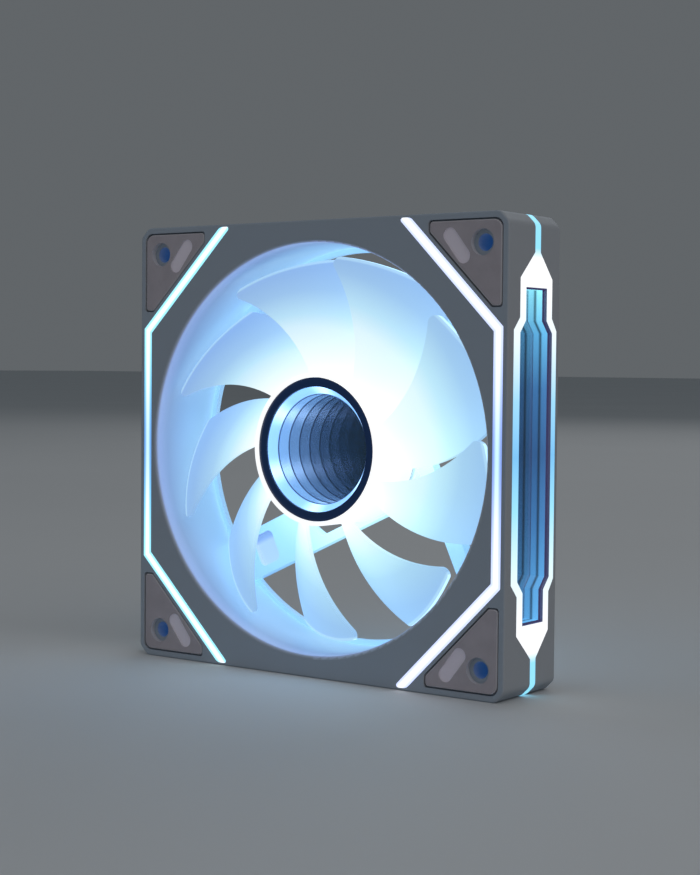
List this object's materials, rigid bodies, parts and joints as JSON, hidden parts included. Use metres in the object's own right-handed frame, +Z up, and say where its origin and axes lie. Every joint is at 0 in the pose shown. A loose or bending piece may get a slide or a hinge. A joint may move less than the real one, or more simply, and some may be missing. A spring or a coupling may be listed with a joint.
{
  "type": "case fan",
  "caption": "Square cooling fan with a lit swept-blade impeller, mirrored hub, light strips round the intake, mirrored light windows in its sides and soft corner pads.",
  "frame": {"origin": "fan centre on the spin axis, at half depth", "axes": "-Y is the intake face, +Y the outlet face with the struts, +Z up, +X to the right seen from the intake side"},
  "size_m": [0.12, 0.025, 0.12],
  "materials": {
    "frame_plastic": "fine satin",
    "strip_light": "frosted light guide",
    "side_light": "frosted light guide",
    "half_mirror": "polished half mirror",
    "mirror_film": "polished",
    "pad_rubber": "soft matte",
    "circuit_board": "solder mask",
    "light_chip": "clear cap",
    "screw_steel": "satin",
    "dark_plastic": "satin",
    "contact_gold": "plated",
    "ribbon": "film",
    "bearing_brass": "turned",
    "nylon": "satin",
    "core_steel": "laminated, satin",
    "magnet": "sintered",
    "copper": "enamelled wire",
    "label": "paper film, blank",
    "impeller_frost": "frosted translucent",
    "ring_light": "frosted light guide",
    "dark_ring": "gloss"
  },
  "bodies": {
    "frame": {"housing": "frame_plastic", "front_bezel": "frame_plastic", "strut_cover": "frame_plastic", "front_light_right": "strip_light", "front_light_left": "strip_light", "side_light_right": "side_light", "side_light_left": "side_light", "side_window_right": "half_mirror", "side_window_left": "half_mirror", "side_mirror_right": "mirror_film", "side_mirror_left": "mirror_film", "front_pad_top_right": "pad_rubber", "rear_pad_top_right": "pad_rubber", "light_board_top_right": "circuit_board", "light_chips_top_right": "light_chip", "front_pad_top_left": "pad_rubber", "rear_pad_top_left": "pad_rubber", "light_board_top_left": "circuit_board", "light_chips_top_left": "light_chip", "front_pad_bottom_right": "pad_rubber", "rear_pad_bottom_right": "pad_rubber", "light_board_bottom_right": "circuit_board", "light_chips_bottom_right": "light_chip", "front_pad_bottom_left": "pad_rubber", "rear_pad_bottom_left": "pad_rubber", "light_board_bottom_left": "circuit_board", "light_chips_bottom_left": "light_chip", "motor_board": "circuit_board", "hub_light_chips": "light_chip", "case_screws": "screw_steel", "contact_block_top": "dark_plastic", "contact_block_bottom": "dark_plastic", "motor_driver": "dark_plastic", "hall_sensor": "dark_plastic", "contacts_top": "contact_gold", "contacts_bottom": "contact_gold", "strut_ribbon": "ribbon", "bearing_tube": "bearing_brass", "bearing_sleeve": "bearing_brass", "thrust_pad": "nylon", "stator_insulator_front": "nylon", "stator_insulator_rear": "nylon", "stator_core": "core_steel", "stator_coils": "copper", "rear_label": "label"},
    "rotor": {"impeller": "impeller_frost", "hub_bezel": "dark_ring", "hub_window": "half_mirror", "hub_light_ring": "ring_light", "hub_mirror": "mirror_film", "rotor_yoke": "core_steel", "magnet_ring": "magnet", "shaft_boss": "bearing_brass", "shaft": "screw_steel", "retaining_ring": "nylon"}
  },
  "joints": [
    {"name": "rotor_spin", "type": "hinge", "parent": "frame", "child": "rotor", "pos_m": [0, 0, 0], "axis": [0, -1, 0], "continuous": true}
  ]
}
